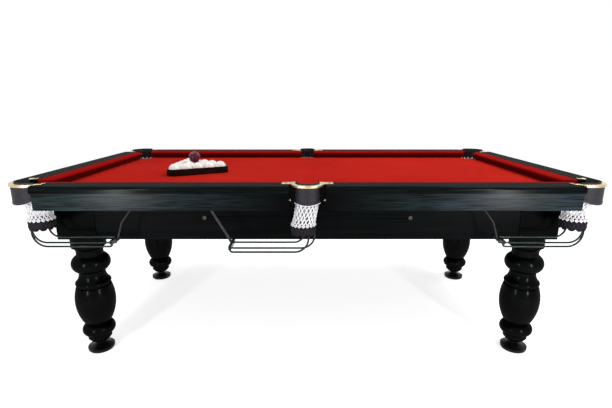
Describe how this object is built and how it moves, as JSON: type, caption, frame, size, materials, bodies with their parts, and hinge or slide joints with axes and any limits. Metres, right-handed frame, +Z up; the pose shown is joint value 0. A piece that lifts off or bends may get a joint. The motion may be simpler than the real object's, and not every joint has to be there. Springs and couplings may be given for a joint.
{
  "type": "billiards table",
  "caption": "Pocket billiards table with turned legs, a slate bed under red cloth, rubber cushions, netted pockets with ball return rails, and a racked set of balls.",
  "frame": {"origin": "on the floor under the middle of the table", "axes": "+X along the table, +Y across it to the rear, +Z up"},
  "size_m": [2.524, 1.404, 0.9396],
  "materials": {
    "lacquered_wood": "gloss black lacquer",
    "beam_wood": "planed, bare",
    "foot_metal": "gloss black",
    "bolt_steel": "darkened",
    "slate": "ground flat",
    "red_cloth": "worsted wool",
    "cushion_rubber": "covered in red cloth",
    "pocket_brass": "polished",
    "pocket_leather": "black, stitched",
    "cup_leather": "dark, laced",
    "strap_leather": "dark grey",
    "net_cord": "knotted white cord",
    "return_steel": "black coated",
    "ivory_resin": "polished",
    "red_resin": "polished",
    "rack_wood": "dark stain"
  },
  "bodies": {
    "table": {"leg_front_left": "lacquered_wood", "leg_front_right": "lacquered_wood", "leg_rear_left": "lacquered_wood", "leg_rear_right": "lacquered_wood", "front_apron": "lacquered_wood", "rear_apron": "lacquered_wood", "left_apron": "lacquered_wood", "right_apron": "lacquered_wood", "cross_beam_left": "beam_wood", "cross_beam_right": "beam_wood", "beam_bolts": "bolt_steel", "slate_left": "slate", "slate_middle": "slate", "slate_right": "slate", "bed_cloth": "red_cloth", "rail_front_left": "lacquered_wood", "skirt_front_left": "lacquered_wood", "cushion_front_left": "cushion_rubber", "rail_front_right": "lacquered_wood", "skirt_front_right": "lacquered_wood", "cushion_front_right": "cushion_rubber", "rail_rear_left": "lacquered_wood", "skirt_rear_left": "lacquered_wood", "cushion_rear_left": "cushion_rubber", "rail_rear_right": "lacquered_wood", "skirt_rear_right": "lacquered_wood", "cushion_rear_right": "cushion_rubber", "rail_left": "lacquered_wood", "skirt_left": "lacquered_wood", "cushion_left": "cushion_rubber", "rail_right": "lacquered_wood", "skirt_right": "lacquered_wood", "cushion_right": "cushion_rubber", "corner_irons": "pocket_brass", "side_irons": "pocket_brass", "corner_leathers": "pocket_leather", "side_leathers": "pocket_leather", "net_front_left": "net_cord", "return_rails_front_left": "return_steel", "net_front_right": "net_cord", "return_rails_front_right": "return_steel", "net_rear_left": "net_cord", "return_rails_rear_left": "return_steel", "net_rear_right": "net_cord", "return_rails_rear_right": "return_steel", "net_front_side": "net_cord", "return_rails_front_side": "return_steel", "net_rear_side": "net_cord", "return_rails_rear_side": "return_steel", "corner_cups": "cup_leather", "side_cups": "cup_leather", "hanger_straps": "strap_leather"},
    "foot_front_left": {"foot_front_left": "foot_metal"},
    "foot_front_right": {"foot_front_right": "foot_metal"},
    "foot_rear_left": {"foot_rear_left": "foot_metal"},
    "foot_rear_right": {"foot_rear_right": "foot_metal"},
    "ball_set": {"white_balls": "ivory_resin"},
    "rack": {"rack": "rack_wood"},
    "cue_ball": {"cue_ball": "red_resin"}
  },
  "joints": [
    {"name": "foot_turn_front_left", "type": "hinge", "parent": "table", "child": "foot_front_left", "pos_m": [-1.036, -0.44, 0], "axis": [0, 0, 1], "continuous": true},
    {"name": "foot_turn_front_right", "type": "hinge", "parent": "table", "child": "foot_front_right", "pos_m": [1.036, -0.44, 0], "axis": [0, 0, 1], "continuous": true},
    {"name": "foot_turn_rear_left", "type": "hinge", "parent": "table", "child": "foot_rear_left", "pos_m": [-1.036, 0.44, 0], "axis": [0, 0, 1], "continuous": true},
    {"name": "foot_turn_rear_right", "type": "hinge", "parent": "table", "child": "foot_rear_right", "pos_m": [1.036, 0.44, 0], "axis": [0, 0, 1], "continuous": true},
    {"name": "rack_slide", "type": "slide", "parent": "table", "child": "ball_set", "axis": [1, 0, 0], "range_m": [-0.36, 1.5]},
    {"name": "rack_lift", "type": "slide", "parent": "ball_set", "child": "rack", "axis": [0, 0, 1], "range_m": [0, 0.3]},
    {"name": "cue_ball_lift", "type": "slide", "parent": "ball_set", "child": "cue_ball", "axis": [0, 0, 1], "range_m": [0, 0.3]}
  ]
}
